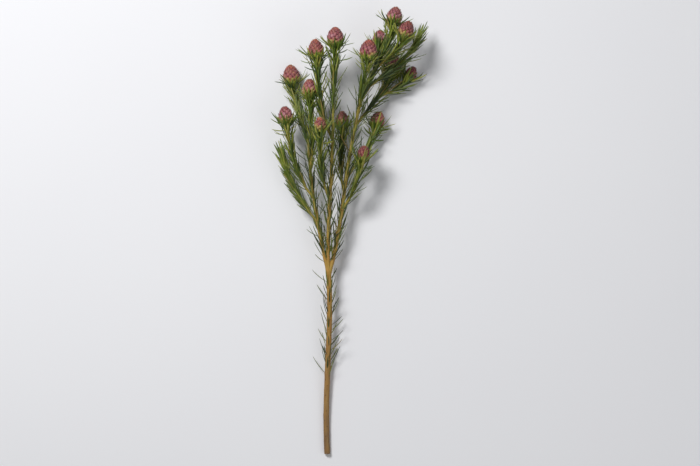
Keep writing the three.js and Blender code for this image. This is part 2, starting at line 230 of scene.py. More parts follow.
def layShoot(name, shoot):
    host, share = axes[shoot["parent"]], shoot["share"]
    onAxis, along = pointAt(host, share), directionAt(host, share)
    end = place(*shoot["tip"])
    rests = shoot["tip"][2] == 0
    if rests:
        end.z = (shoot["coneWidth"] / 2 - shootShape["coneFlat"]) * mm
    outward = end - onAxis
    outward = (outward - along * outward.dot(along)).normalized()
    gap, radius = shootShape["seatGap"] * mm, shootShape["radius"] * mm
    leaving, start, ages = along, onAxis + along * gap, shootShape["endAges"]
    if share < 1:
        angle, ages = shootShape["leavingAngle"], shootShape["sideAges"]
        leaving = along * cos(angle) + outward * sin(angle)
        start = onAxis + leaving * (host["radiusAt"](share) + gap + radius) / sin(angle)
        collars.append({"piece": host["piece"], "from": onAxis, "to": start, "age": host["ages"][1]})
    reach = (end - start).length
    heading = ((end - start).normalized() + Vector((0, 1, 0))).normalized()
    if rests:
        heading.z = 0
        heading.normalize()
    axis = makeAxis([start, start + leaving * reach / 3, end - heading * reach / 3, end])
    knob = 1 - shootShape["knobLength"] * mm / axis["length"] if "coneWidth" in shoot else 1

    def radiusAt(t):
        if t <= knob:
            return lerp(shootShape["radius"], shootShape["tipRadius"], t / knob) * mm
        return lerp(shootShape["tipRadius"], shootShape["knobRadius"], (t - knob) / (1 - knob)) * mm

    axis.update(radiusAt=radiusAt, heading=heading, knob=knob, piece=name, ages=ages)
    axes[name] = axis


layWood()
for shootName, shootPlan in shoots.items():
    layShoot(shootName, shootPlan)
print("laid out", len(axes), "axes and", len(collars), "collars")


# Layout: the cones

coneShape = {
    "slenderness": 1.1,
    "widest": 0.42,
    "fullness": 0.46,
    "tipLift": 1.3,  # how far the scales' tips stand off the cone's body
    "youngWidth": 20.5,  # narrower cones have fewer scales
    "young": {"spirals": (5, 8), "scales": 60, "turn": goldenAngle},
    "grown": {"spirals": (7, 11), "scales": 98, "turn": radians(99.502)},
    "shares": (0.02, 0.985),  # how high up the lattice of scales starts and ends
    "uneven": (0.12, 0.5),  # how far scales stray, in half widths and in lattice steps
    "samples": 400,
}


def bodyRadius(share, width):
    power = log(0.5) / log(coneShape["widest"])
    turn = pi * clamp(share) ** power
    return (width / 2 - coneShape["tipLift"]) * max(sin(turn), 0) ** coneShape["fullness"] * mm


def layCone(name):
    axis, width = axes[name], shoots[name]["coneWidth"]
    heading = axis["heading"]
    side, front = crossOf(heading)
    cone = {"up": heading, "side": side, "front": front, "width": width}
    cone["base"] = pointAt(axis, 1) + heading * shootShape["seatGap"] * mm
    cone["length"] = width * coneShape["slenderness"] * mm
    cone.update(coneShape["young" if width < coneShape["youngWidth"] else "grown"])
    aside, along = coneShape["uneven"]
    cone["strays"] = [(draw.uniform(-aside, aside), draw.uniform(-along, along))
                      for _ in range(cone["scales"])]
    samples = coneShape["samples"]
    low, high = coneShape["shares"]
    reached = [0.0]
    for i in range(samples):
        a, b = lerp(low, high, i / samples), lerp(low, high, (i + 1) / samples)
        rise, run = (b - a) * cone["length"], bodyRadius(b, width) - bodyRadius(a, width)
        reached.append(reached[-1] + hypot(rise, run) / bodyRadius((a + b) / 2, width))
    cone["reached"] = reached
    cone["last"] = cone["scales"] + sum(cone["spirals"]) - 1
    return cone


def scaleShare(cone, step):
    reached = cone["reached"]
    wanted = clamp(step / cone["last"]) * reached[-1]
    i = int(clamp(bisect.bisect_left(reached, wanted), 1, len(reached) - 1))
    part = (wanted - reached[i - 1]) / (reached[i] - reached[i - 1])
    low, high = coneShape["shares"]
    return lerp(low, high, (i - 1 + part) / (len(reached) - 1))


def coneOut(cone, turn):
    return outAt(cone["side"], cone["front"], turn)


def onCone(cone, share, turn, lift):
    # lift is along the body's own normal, so that it points up at the crown
    step = 0.004
    a, b = clamp(share - step), clamp(share + step)
    rise = (b - a) * cone["length"]
    run = bodyRadius(b, cone["width"]) - bodyRadius(a, cone["width"])
    slant = hypot(rise, run)
    height = share * cone["length"] - lift * run / slant
    radius = bodyRadius(share, cone["width"]) + lift * rise / slant
    return cone["base"] + cone["up"] * height + coneOut(cone, turn) * radius


cones = {name: layCone(name) for name, shoot in shoots.items() if "coneWidth" in shoot}

clearWay = {
    "spacing": 2,  # of the points along every axis, which needles of other axes keep clear of
    "reach": 4.5,  # how near to a needle they are looked for
    "coneEnds": 0.12,  # how far past its ends a cone still counts, as a share of its length
    "slack": 0.02,  # how far past the frame's box needles may reach, as a share of its side
    "rootPoints": 3,  # a needle's first points, which need no room
    "gap": 0.3,
}


def layWays():
    points = []
    for name, axis in axes.items():
        count = int(axis["length"] / (clearWay["spacing"] * mm))
        points += [(pointAt(axis, i / count), name) for i in range(count + 1)]
    tree = KDTree(len(points))
    for number, (point, _) in enumerate(points):
        tree.insert(point, number)
    tree.balance()
    return points, tree


wayPoints, wayTree = layWays()


# Materials. Colours are given 0 to 255, and ramps list each colour with its place.

def paint(red, green, blue):
    def linear(value):
        value /= 255
        return value / 12.92 if value <= 0.04045 else ((value + 0.055) / 1.055) ** 2.4
    return (linear(red), linear(green), linear(blue), 1)


def newMaterial(name, roughness, specular, sheen=0.0, sheenTint=(255, 255, 255)):
    material = bpy.data.materials.new(name)
    material.use_nodes = True
    shader = material.node_tree.nodes["Principled BSDF"]
    shader.inputs["Roughness"].default_value = roughness
    shader.inputs["Specular IOR Level"].default_value = specular
    shader.inputs["Sheen Weight"].default_value = sheen
    shader.inputs["Sheen Tint"].default_value = paint(*sheenTint)
    return material, material.node_tree, shader


def readAttribute(tree, name, output="Fac"):
    node = tree.nodes.new("ShaderNodeAttribute")
    node.attribute_name = name
    return node.outputs[output]


def connect(value, socket):
    # value is an output of another node, a number or a colour
    if hasattr(value, "links"):
        socket.id_data.links.new(value, socket)
    else:
        socket.default_value = paint(*value) if isinstance(value, tuple) else value


def calculate(operation, *values):
    node = values[0].id_data.nodes.new("ShaderNodeMath")
    node.operation = operation
    for socket, value in zip(node.inputs, values):
        connect(value, socket)
    return node.outputs[0]


def multiply(first, second):
    return calculate("MULTIPLY", first, second)


def shift(value, driver, amount, middle=0.5):
    # value goes up where the driver is over its middle, and down where it is under it
    return calculate("MULTIPLY_ADD", calculate("SUBTRACT", driver, middle), amount, value)


def between(value, low, high, first=0.0, last=1.0):
    node = value.id_data.nodes.new("ShaderNodeMapRange")
    node.interpolation_type = "SMOOTHSTEP"
    for socket, number in zip(node.inputs, (value, low, high, first, last)):
        connect(number, socket)
    return node.outputs[0]


def blend(factor, first, second):
    node = factor.id_data.nodes.new("ShaderNodeMix")
    node.data_type = "RGBA"
    connect(factor, node.inputs["Factor"])
    connect(first, node.inputs[6])
    connect(second, node.inputs[7])
    return node.outputs[2]


def colourRamp(value, stops):
    node = value.id_data.nodes.new("ShaderNodeValToRGB")
    elements = node.color_ramp.elements
    while len(elements) < len(stops):
        elements.new(0.5)
    for element, (position, colour) in zip(elements, stops):
        element.position = position
        element.color = paint(*colour)
    connect(value, node.inputs[0])
    return node.outputs[0]


def noiseOn(vector, scale, detail, stretch=(1, 1, 1)):
    nodes = vector.id_data.nodes
    mapping, node = nodes.new("ShaderNodeMapping"), nodes.new("ShaderNodeTexNoise")
    mapping.inputs["Scale"].default_value = stretch
    node.inputs["Scale"].default_value = scale
    node.inputs["Detail"].default_value = detail
    connect(vector, mapping.inputs["Vector"])
    connect(mapping.outputs[0], node.inputs["Vector"])
    return node.outputs[0]


def objectPlace(tree):
    return tree.nodes.new("ShaderNodeTexCoord").outputs["Object"]


def addBump(shader, height, strength, distance):
    node = height.id_data.nodes.new("ShaderNodeBump")
    node.inputs["Strength"].default_value = strength
    node.inputs["Distance"].default_value = distance
    connect(height, node.inputs["Height"])
    connect(node.outputs[0], shader.inputs["Normal"])


needleColours = {
    "old": ((0.0, (30, 42, 14)), (0.35, (50, 66, 20)), (0.7, (82, 96, 32)),
            (0.93, (108, 116, 42)), (0.955, (134, 116, 58)), (1.0, (122, 84, 44))),
    "young": ((0.0, (62, 88, 22)), (0.35, (96, 120, 30)), (0.7, (138, 150, 46)), (1.0, (178, 176, 80))),
    "speckle": (74, 92, 50),
    "foot": (158, 158, 74),
    "tip": (146, 112, 60),
}


def makeNeedleMaterial():
    material, tree, shader = newMaterial("needleGreen", 0.42, 0.45)
    tint, along, youth = (readAttribute(tree, n) for n in ("tint", "along", "youth"))
    old, young = (colourRamp(tint, needleColours[n]) for n in ("old", "young"))
    colour = blend(youth, old, young)
    speckle = noiseOn(objectPlace(tree), 260, 2)
    colour = blend(between(speckle, 0.35, 0.7, 0, 0.3), colour, needleColours["speckle"])
    colour = blend(between(along, 0.0, 0.2, 0.55, 0), colour, needleColours["foot"])
    colour = blend(between(along, 0.92, 1.0, 0, 0.75), colour, needleColours["tip"])
    connect(colour, shader.inputs["Base Color"])
    connect(between(speckle, 0.2, 0.8, 0.36, 0.55), shader.inputs["Roughness"])
    ridges = calculate("SINE", multiply(readAttribute(tree, "across"), 16.0))
    addBump(shader, ridges, 0.25, 0.00008)
    return material


scaleColours = {
    "rose": ((184, 110, 114), (148, 60, 78)),  # each scale has its own between the two
    "mauve": (136, 58, 82),
    "pale": (192, 144, 152),
    "deep": ((132, 40, 50), (104, 16, 28)),  # low and high on the cone
    "tan": (190, 140, 98),
    "crimson": ((98, 12, 22), (148, 26, 34)),  # so have these
    "orange": ((164, 36, 28), (192, 76, 44)),
    "ochre": (222, 150, 80),
    "foot": ((0.0, (98, 118, 38)), (0.4, (142, 146, 60)), (0.72, (182, 160, 90)), (1.0, (188, 132, 98))),
    "velvet": (212, 174, 166),
    "rim": ((72, 12, 20), (206, 156, 112)),  # dark, and straw-coloured
    "lowRim": (150, 70, 46),
    # painted shade: dark crimson for the root end of each scale, where the tips of the scales below lie
    # over it
    "paintedShadeUnderTips": (80, 16, 28),
    "sheen": (255, 222, 218),
}


def makeScaleMaterial():
    dye = scaleColours
    material, tree, shader = newMaterial("coneScale", 0.6, 0.25, 0.3, dye["sheen"])
    shader.inputs["Sheen Roughness"].default_value = 0.35
    names = ("height", "along", "across", "tint", *lookKeys)
    height, along, across, tint, blush, crown, green, straw = (readAttribute(tree, n) for n in names)
    spot = objectPlace(tree)
    clouds, patches, bloom = (noiseOn(spot, *size) for size in ((120, 2), (190, 2), (900, 3)))
    # pale rose, mauve and crimson in soft patches
    mauve = blend(between(clouds, 0.4, 0.58), blend(tint, *dye["rose"]), dye["mauve"])
    higher = calculate("MULTIPLY_ADD", between(height, 0.5, 0.8), 0.4, blush)
    flushed = shift(higher, patches, 1.6)
    mauve = blend(between(flushed, 0, 0.5, 0.5, 0), mauve, dye["pale"])
    deep = blend(between(height, 0.4, 0.9), *dye["deep"])
    colour = blend(between(flushed, 0.0, 1.1, 0, 0.9), mauve, deep)
    tan = multiply(multiply(between(patches, 0.42, 0.62), straw), 0.44)
    colour = blend(tan, colour, dye["tan"])
    # the crown, from crimson to orange, with ochre tips
    crimson, orange = (blend(tint, *dye[n]) for n in ("crimson", "orange"))
    ripe = blend(between(crown, 0.25, 1), crimson, orange)
    ripe = blend(multiply(between(along, 0.7, 0.9), straw), ripe, dye["ochre"])
    ragged = shift(height, tint, 0.14)  # no two scales change colour at one height
    colour = blend(multiply(between(ragged, 0.76, 0.9), 0.92), colour, ripe)
    # the green foot
    reach = calculate("MULTIPLY_ADD", green, 0.42, 0.22)
    below = calculate("DIVIDE", shift(ragged, along, 0.3, 0.62), reach)
    foot = colourRamp(below, dye["foot"])
    colour = blend(between(below, 0.7, 1.2, 1, 0), colour, foot)
    # paler velvet in the middle, thin dark or straw-coloured margins
    side = calculate("ABSOLUTE", across)
    middle = multiply(between(side, 0.1, 0.8, 1, 0), between(bloom, 0.3, 0.7))
    colour = blend(multiply(middle, 0.36), colour, dye["velvet"])
    frayed = shift(side, bloom, 0.3)
    rim = calculate("MAXIMUM", between(frayed, 0.58, 0.88), between(along, 0.86, 0.97))
    edge = blend(between(shift(straw, clouds, 1), 0.5, 0.8), *dye["rim"])
    edge = blend(between(below, 0.5, 1.1, 1, 0), edge, dye["lowRim"])
    colour = blend(multiply(rim, 0.86), colour, edge)
    # painted shade: each scale darkens towards its root end, where the tips of the scales below lie over
    # it
    colour = blend(between(along, 0.28, 0.62, 0.9, 0), colour, dye["paintedShadeUnderTips"])
    connect(colour, shader.inputs["Base Color"])
    veins = calculate("SINE", multiply(across, 26.0))
    addBump(shader, calculate("MULTIPLY_ADD", veins, 0.3, bloom), 0.45, 0.00025)
    return material


hairColours = ((214, 176, 168), (240, 226, 218))


def makeHairMaterial():
    material, tree, shader = newMaterial("silverHair", 0.5, 0.4)
    shade = noiseOn(objectPlace(tree), 400, 1)
    connect(blend(shade, *hairColours), shader.inputs["Base Color"])
    return material


barkColours = {
    "ages": ((0.0, (124, 98, 62)), (0.18, (156, 120, 66)), (0.36, (174, 134, 62)),
             (0.52, (170, 146, 70)), (0.72, (150, 144, 62)), (1.0, (116, 130, 46))),
    "furrow": ((128, 70, 34), (98, 92, 38)),  # in old and in green bark
    "ridge": ((204, 178, 118), (168, 166, 84)),
    "scar": (66, 44, 28),
}


def makeBarkMaterial():
    material, tree, shader = newMaterial("bark", 0.6, 0.35)
    grain = readAttribute(tree, "grain", "Vector")
    age, scar = readAttribute(tree, "age"), readAttribute(tree, "scar")
    fine = noiseOn(grain, 1500, 4, (1, 1, 0.035))
    fibre = noiseOn(grain, 4200, 2, (1, 1, 0.05))
    broad = noiseOn(grain, 240, 3, (1, 1, 0.25))
    colour = colourRamp(shift(age, broad, 0.4), barkColours["ages"])
    furrow, ridge = (blend(between(age, 0.5, 0.9), *barkColours[n]) for n in ("furrow", "ridge"))
    colour = blend(between(fine, 0.45, 0.72, 0, 0.65), colour, furrow)
    colour = blend(between(fine, 0.45, 0.25, 0, 0.4), colour, ridge)
    colour = blend(multiply(scar, 0.9), colour, barkColours["scar"])
    connect(colour, shader.inputs["Base Color"])
    connect(between(broad, 0.3, 0.7, 0.5, 0.75), shader.inputs["Roughness"])
    addBump(shader, calculate("MULTIPLY_ADD", fibre, 0.5, fine), 0.5, 0.0003)
    return material


cutColours = {
    # from the pith to the bark
    "rings": ((0.0, (150, 116, 72)), (0.14, (120, 84, 50)), (0.2, (214, 192, 140)),
              (0.45, (196, 168, 112)), (0.5, (216, 194, 144)), (0.78, (204, 186, 128)),
              (0.86, (150, 150, 80)), (0.93, (110, 78, 46))),
    "stain": (150, 118, 72),
}


def makeCutMaterial():
    material, tree, shader = newMaterial("cutWood", 0.8, 0.2)
    spots = noiseOn(objectPlace(tree), 3000, 3)
    uneven = shift(readAttribute(tree, "radial"), spots, 0.12)
    colour = colourRamp(uneven, cutColours["rings"])
    colour = blend(between(spots, 0.45, 0.7, 0, 0.5), colour, cutColours["stain"])
    connect(colour, shader.inputs["Base Color"])
    addBump(shader, spots, 0.5, 0.0002)
    return material


needleGreen = makeNeedleMaterial()
coneScale = makeScaleMaterial()
silverHair = makeHairMaterial()
bark = makeBarkMaterial()
cutWood = makeCutMaterial()


# Small closed shapes that are copied many times. Each is made once in a mesh of its own.

needleShape = {
    "width": 2.1,
    "widths": (0.8, 1.15),  # the narrowest and the broadest, as shares of it
    "thickness": 1.0,
    "hollow": 0.22,  # how deep its upper side is, in half thicknesses
    "widest": 0.4,
    "root": 0.5,  # its width there, as a share of the greatest
    "taper": 0.44,  # under 1 keeps the width further towards the tip
    "bractTaper": 1.1,
    "sides": 6,
    "rings": 8,
}

scaleShape = {
    "halfWidth": 2.7,
    "length": 7.4,
    "thickness": 0.45,
    "widest": 0.5,
    "root": 0.6,
    "taper": 0.7,
    "bulge": 0.5,  # how far the middle stands over the margins
    "keel": 0.25,
    "columns": 4,
    "rows": 6,
    "sizes": (0.35, 1.25),
    "leans": (0.65, 1.35),  # how far the tips stand off, as a share of tipLift
    "tipDrop": 0.3,  # less this much
    "rise": 1.2,  # over 1 keeps a scale close to the cone for longer
    "curl": (0.4, 6),  # how far the tip curls out, and how late
    "rootDepth": 1.5,  # how deep the hidden root lies in the cone
    "rootCover": 0.3,  # how much of that the cone's body covers
    "below": 0.42,  # how far the hidden root reaches below its diamond, as a share of it
    "above": 0.1,  # and how far the tip reaches past it
    "overlap": 1.16,
}


def newShape():
    bm = bmesh.new()
    for name in ("along", "across", "tint", "youth", "height", *lookKeys, "age", "scar", "radial"):
        bm.verts.layers.float.new(name)
    bm.verts.layers.float_vector.new("grain")
    bm.verts.layers.int.new("station")
    return bm


def layer(bm, name):
    return bm.verts.layers.float[name]


def setLayers(bm, verts, values):
    for name, value in values.items():
        key = layer(bm, name)
        for v in verts:
            v[key] = value


def ringedRod(sides, rings):
    # upright, one unit long and one unit in radius
    bm = newShape()
    bmesh.ops.create_cone(bm, cap_ends=True, segments=sides, radius1=1, radius2=1, depth=1)
    uprights = [e for e in bm.edges if abs(e.verts[0].co.z - e.verts[1].co.z) > 0.5]
    bmesh.ops.subdivide_edges(bm, edges=uprights, cuts=rings - 1, use_grid_fill=True)
    return bm


def widthAt(shape, t, taper):
    # as a share of the greatest, from the root at 0 to the tip at 1
    widest = shape["widest"]
    if t < widest:
        return lerp(shape["root"], 1, sin(pi / 2 * t / widest))
    return cos(pi / 2 * (t - widest) / (1 - widest)) ** taper


def needleTemplate(taper):
    rings = needleShape["rings"]
    bm = ringedRod(needleShape["sides"], rings)
    along, across, station = layer(bm, "along"), layer(bm, "across"), bm.verts.layers.int["station"]
    for v in bm.verts:
        t = clamp(v.co.z + 0.5)
        v[along], v[across], v[station] = t, v.co.x, round(t * rings)
        wide = widthAt(needleShape, t, taper)
        hollow = needleShape["hollow"] * (1 - abs(v.co.x)) if v.co.y > 0 else 0
        v.co.x *= wide * needleShape["width"] / 2 * mm
        v.co.y = (v.co.y - hollow) * wide * needleShape["thickness"] / 2 * mm
    tip = [v for v in bm.verts if v[station] == rings]
    bmesh.ops.pointmerge(bm, verts=tip, merge_co=(0, 0, 0.5))
    return toMesh(bm, "needleTemplate")


def scaleTemplate():
    # a flat sheet with a thickness, then bent: x across and y along in mm, z off the cone
    bm = newShape()
    bmesh.ops.create_grid(bm, x_segments=scaleShape["columns"], y_segments=scaleShape["rows"], size=1)
    bmesh.ops.solidify(bm, geom=bm.faces[:], thickness=1)
    along, across = layer(bm, "along"), layer(bm, "across")
    topOf = max(v.co.z for v in bm.verts)
    for v in bm.verts:
        u, t = v.co.x, (v.co.y + 1) / 2
        v[along], v[across] = t, u
        wide = widthAt(scaleShape, t, scaleShape["taper"])
        bulge = scaleShape["bulge"] * (1 - u * u) + scaleShape["keel"] * (1 - abs(u)) ** 2
        under = 0 if topOf - v.co.z < 0.5 else scaleShape["thickness"]
        v.co = (u * wide * scaleShape["halfWidth"], t * scaleShape["length"], bulge * wide - under)
    tip = [v for v in bm.verts if v[along] > 0.999]
    bmesh.ops.pointmerge(bm, verts=tip, merge_co=(0, scaleShape["length"], 0))
    for face in bm.faces:
        face.material_index = 1
    return toMesh(bm, "scaleTemplate")


def hairTemplate():
    # a closed spike one unit long and one unit in radius at its root
    bm = newShape()
    bmesh.ops.create_cone(bm, cap_ends=True, segments=3, radius1=1, radius2=0, depth=1,
                          matrix=Matrix.Translation((0, 0, 0.5)))
    for face in bm.faces:
        face.material_index = 2
    return toMesh(bm, "hairTemplate")


def toMesh(bm, name):
    mesh = bpy.data.meshes.new(name)
    bm.to_mesh(mesh)
    bm.free()
    return mesh


def addCopies(bm, mesh, count=1):
    # joins copies of a small mesh and returns the new vertices of each
    before = len(bm.verts)
    for _ in range(count):
        bm.from_mesh(mesh, face_normals=False, vertex_normals=False)
    bm.verts.ensure_lookup_table()
    added, size = bm.verts[before:], len(mesh.vertices)
    return [added[i * size:(i + 1) * size] for i in range(count)]


def newObject(name, data):
    made = bpy.data.objects.new(name, data)
    bpy.context.scene.collection.objects.link(made)
    return made


def finishPiece(bm, name, materials, slot, *nodes):
    bmesh.ops.recalc_face_normals(bm, faces=bm.faces[:])
    for face in bm.faces:
        face.smooth = True
    mesh = toMesh(bm, name)
    for material in materials:
        mesh.materials.append(material)
    piece = newObject(name, mesh)
    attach(piece, "root")
    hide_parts(*nodes)


needleMesh = needleTemplate(needleShape["taper"])
bractMesh = needleTemplate(needleShape["bractTaper"])
scaleMesh = scaleTemplate()
hairMesh = hairTemplate()


# Needles

brush = {
    "lengths": (19, 31),
    "spacing": 0.95,
    "crowding": 1.3,  # over 1 sets needles closer towards a shoot's tip
    "span": (0.05, 0.99),  # of a shoot below its knob
    "leans": (radians(15), radians(12)),  # low and high on a shoot
    "leanRange": (0.7, 1.2),
    "mostLean": radians(46),
    "strays": 0.2,  # the share that stands out from the brush
    "strayLean": 2.5,
    "youth": (0.25, 0.85, 1.5),  # low and high on a shoot, and how late it changes
    "youthRange": 0.15,
    "twist": radians(40),
    "sweep": 0.16,  # how far they curve sideways
    "rootSunk": 0.7,  # where they start, as a share of the radius of their stem
    "parts": ((0.38, 1.25), (0.34, 1), (0.3, 0.76)),  # of the length and of the lean in each third
    "leanTries": (1, 1.3, 0.75, 1.6, 0.5),  # where there's no room they lean more or less
    "turnTries": (0, 14, -14, 28, -28),  # or stand aside, in degrees
    "woodLean": radians(20),
    "woodWidth": 0.8,
    "woodYouth": 0.12,
}

cup = {
    "from": (0.6, 0.8),  # how far below a cone its cup starts, in lengths of the needle
    "width": 1.2,  # its needles are broader
    "rays": 0.4,  # the share that stands straight out under the cone
    "rayLean": (radians(34), radians(78)),
    "rayLengths": (15, 24),
    "spread": (0, 3),  # how far out from the cone the tips are, in steps
    "spreadStep": 1.3,
    "gap": 1.2,
    "tries": (0, 1.5, 3, 5, 8),  # where there's no room the tips go further out
    "turnTries": (0, 12, -12, 24, -24),
    "leastClimb": 0.35,
    "rootOut": 1.1,
    "flare": 0.2,  # how far they first go up and out, in lengths
    "bow": 0.07,  # and how far they then bow out round the cone
}


def clearOfCones(point, room):
    for other in cones.values():
        offset = point - other["base"]
        share = offset.dot(other["up"]) / other["length"]
        if share < -clearWay["coneEnds"] or share > 1 + clearWay["coneEnds"]:
            continue
        off = sqrt(max(0, offset.length_squared - (share * other["length"]) ** 2))
        clear = (coneShape["tipLift"] + clearWay["gap"]) * mm + room
        if off < bodyRadius(share, other["width"]) + clear:
            return False
    return True


def insideFrame(point):
    low, high = cadBox
    slack = clearWay["slack"]
    return all(low[i] - slack * (high[i] - low[i]) < point[i] < high[i] + slack * (high[i] - low[i])
               for i in range(3))


def pathIsClear(path, axisName):
    room = needleShape["width"] / 4 * mm
    if not insideFrame(path[-1]):
        return False
    for point in path[clearWay["rootPoints"]:]:
        if point.z < room + clearWay["gap"] * mm or not clearOfCones(point, room):
            return False
        for _, number, distance in wayTree.find_range(point, clearWay["reach"] * mm):
            other = wayPoints[number][1]
            if other != axisName and distance < axes[other]["radiusAt"](0) + room:
                return False
    return True


def addNeedles(bm, needles, template=needleMesh):
    # each is (path, out, look); a path has one point for each ring of the template
    tint, youth, station = layer(bm, "tint"), layer(bm, "youth"), bm.verts.layers.int["station"]
    for (path, out, look), verts in zip(needles, addCopies(bm, template, len(needles))):
        stations = []
        for i, point in enumerate(path):
            ahead = (path[min(i + 1, len(path) - 1)] - path[max(i - 1, 0)]).normalized()
            normal = (out - ahead * out.dot(ahead)).normalized()
            normal.rotate(Quaternion(ahead, look["twist"] * i / len(path)))
            stations.append((point, normal.cross(ahead) * look["wide"], normal))
        for v in verts:
            point, across, normal = stations[v[station]]
            v.co = point + across * v.co.x + normal * v.co.y
            v[tint], v[youth] = look["tint"], look["youth"]


def growNeedle(axisName, share, turn, lean, length, look):
    axis = axes[axisName]
    root, (along, side, front) = pointAt(axis, share), crossAt(axis, share)
    radius = axis["radiusAt"](share)
    sweep = draw.uniform(-brush["sweep"], brush["sweep"])
    for leanFactor in brush["leanTries"]:
        for aside in brush["turnTries"]:
            out = outAt(side, front, turn + radians(aside))
            around = along.cross(out) * sweep
            ends = [root + out * radius * brush["rootSunk"]]
            for number, (part, bend) in enumerate(brush["parts"]):
                tilt = min(lean * leanFactor * bend, pi / 2)
                direction = along * cos(tilt) + out * sin(tilt)
                if number > 0:  # the first third isn't swept
                    direction += around
                ends.append(ends[-1] + direction * length * part)
            path = interpolate_bezier(*ends, needleShape["rings"] + 1)
            if pathIsClear(path, axisName):
                return [(path, out, look)]
    return []


def cupNeedle(name, root, turn, length, spread, look):
    # a needle that leaves the shoot under a cone and curves up round it
    cone = cones[name]
    height = (root - cone["base"]).dot(cone["up"])
    for more in cup["tries"]:
        away = (cone["width"] / 2 + cup["gap"] + cup["spreadStep"] * spread + more) * mm
        climb = sqrt(max(length ** 2 - away ** 2, (cup["leastClimb"] * length) ** 2))
        for aside in cup["turnTries"]:
            out = coneOut(cone, turn + radians(aside))
            start = root + out * cup["rootOut"] * mm
            end = cone["base"] + cone["up"] * (height + climb) + out * away
            first = start + (out + cone["up"]) * length * cup["flare"]
            second = first.lerp(end, 0.5) + out * length * cup["bow"]
            path = interpolate_bezier(start, first, second, end, needleShape["rings"] + 1)
            if pathIsClear(path, name):
                return [(path, out, look)]
    return []


def leafSpots(axis, fromShare, toShare, spacing, crowding=1.0):
    # (share, turn) of each leaf
    count = int((toShare - fromShare) * axis["length"] / (spacing * mm))
    parts = [(i + 0.5) / count for i in range(count)]
    return [(lerp(fromShare, toShare, 1 - (1 - part) ** crowding), i * goldenAngle)
            for i, part in enumerate(parts)]


def needleLook(youth, wide=1.0):
    stray = brush["youthRange"]
    return {"tint": draw.random(),
            "youth": clamp(youth + draw.uniform(-stray, stray)),
            "twist": draw.uniform(-1, 1) * brush["twist"],
            "wide": draw.uniform(*needleShape["widths"]) * wide}


def growNeedles(axisName, spots, leanAt, youthAt):
    grown = []
    axis = axes[axisName]
    slimmer = brush["woodWidth"] if axisName in wood else 1
    for share, turn in spots:
        length = draw.uniform(*brush["lengths"]) * mm
        lean = leanAt(share) * draw.uniform(*brush["leanRange"])
        look = needleLook(youthAt(share), slimmer)
        if draw.random() < brush["strays"]:
            lean *= brush["strayLean"]
        lean = min(lean, brush["mostLean"])
        below = (1 - share) * axis["length"]
        inCup = axisName in cones and below < length * draw.uniform(*cup["from"])
        if inCup:
            look["wide"] *= cup["width"]
        if inCup and draw.random() < cup["rays"]:
            lean = draw.uniform(*cup["rayLean"])
            length = draw.uniform(*cup["rayLengths"]) * mm
            grown += growNeedle(axisName, share, turn, lean, length, look)
        elif inCup:
            spread = draw.uniform(*cup["spread"])
            grown += cupNeedle(axisName, pointAt(axis, share), turn, length, spread, look)
        else:
            grown += growNeedle(axisName, share, turn, lean, length, look)
    return grown


# Wood and shoot cores

barkShape = {
    "woodSides": 24,
    "shootSides": 12,
    "ring": 0.9,  # distance between rings
    "scarred": (0.03, 0.97),  # the shares of the trunk where leaf scars start and end
    "scarHeight": 0.28,
    "scarWidth": 0.75,
    "scarTail": 5,  # how far the cushion under a leaf runs down the stem
    "scarHead": 0.6,
    "scarMark": (0.3, 0.9),  # from its middle to where its dark mark starts to fade, and ends
    "scarDrop": 0.2,
    "ripple": 0.16,
    "rippleAround": 1.4,
    "rippleAlong": 0.05,
    "shootRipple": 0.5,  # as a share of the wood's
    "flare": 0.9,
    "flareLength": 7,
    "collarFoot": 1.25,  # a collar's foot is this much wider than its end
    "knotGrowth": 1.14,
    "knotLength": 11,
    "knotRise": 2,
    "cutRings": 4,
}


def scarAt(axis, share, turn, spots):
    # how much of a leaf's cushion and of its scar there is at a place on the bark
    length = axis["length"] / mm
    radius = axis["radiusAt"](share) / mm
    head, tail = barkShape["scarHead"], barkShape["scarTail"]
    cushion = mark = 0.0
    first = bisect.bisect_left(spots, (share - head * 2 / length, -1))
    for spotShare, spotTurn in spots[first:]:
        rise = (share - spotShare) * length
        if rise < -1.6 * tail:  # too far below it to show
            break
        sideways = wrapped(turn - spotTurn) * radius
        lobe = exp(-((sideways / barkShape["scarWidth"]) ** 2))
        fall = head if rise > 0 else tail
        cushion = max(cushion, lobe * exp(-((rise / fall) ** 2)))
        mark = max(mark, lobe * (1 - smooth(*barkShape["scarMark"], abs(rise + barkShape["scarDrop"]))))
    return cushion, mark


def makeRod(axis, sides, ages, spots=(), flare=0.0, ripple=1.0, sunk=0.0):
    # sunk is how far its ends reach into what they join
    rings = max(2, round(axis["length"] / (barkShape["ring"] * mm)))
    rod = ringedRod(sides, rings)
    age, scar, grain = layer(rod, "age"), layer(rod, "scar"), rod.verts.layers.float_vector["grain"]
    crossings = {}
    seed = draw.uniform(0, 50)
    for v in rod.verts:
        t = clamp(v.co.z + 0.5)
        turn = atan2(v.co.y, v.co.x)
        ring = round(t * rings)
        if ring not in crossings:
            crossings[ring] = (pointAt(axis, t), *crossAt(axis, t))
        point, along, side, front = crossings[ring]
        if ring in (0, rings):
            point = point + along * (sunk if ring else -sunk) * mm
        distance = t * axis["length"] / mm
        around = barkShape["rippleAround"]
        spot = (cos(turn) * around, sin(turn) * around, distance * barkShape["rippleAlong"] + seed)
        radius = axis["radiusAt"](t) + noise.noise(Vector(spot)) * barkShape["ripple"] * ripple * mm
        if spots:
            cushion, v[scar] = scarAt(axis, t, turn, spots)
            radius += cushion * barkShape["scarHeight"] * mm
        radius += flare * mm * exp(-((distance / barkShape["flareLength"]) ** 2))
        v.co = point + outAt(side, front, turn) * radius
        v.co.z = max(v.co.z, 0)
        v[age] = lerp(*ages, t)
        v[grain] = Vector((cos(turn) * radius, sin(turn) * radius, t * axis["length"]))
    return rod


def joinInto(bm, other):
    for face in other.faces:
        face.material_index = max(face.material_index, 1)
    mesh = toMesh(other, "joined")
    addCopies(bm, mesh)
    bpy.data.meshes.remove(mesh)


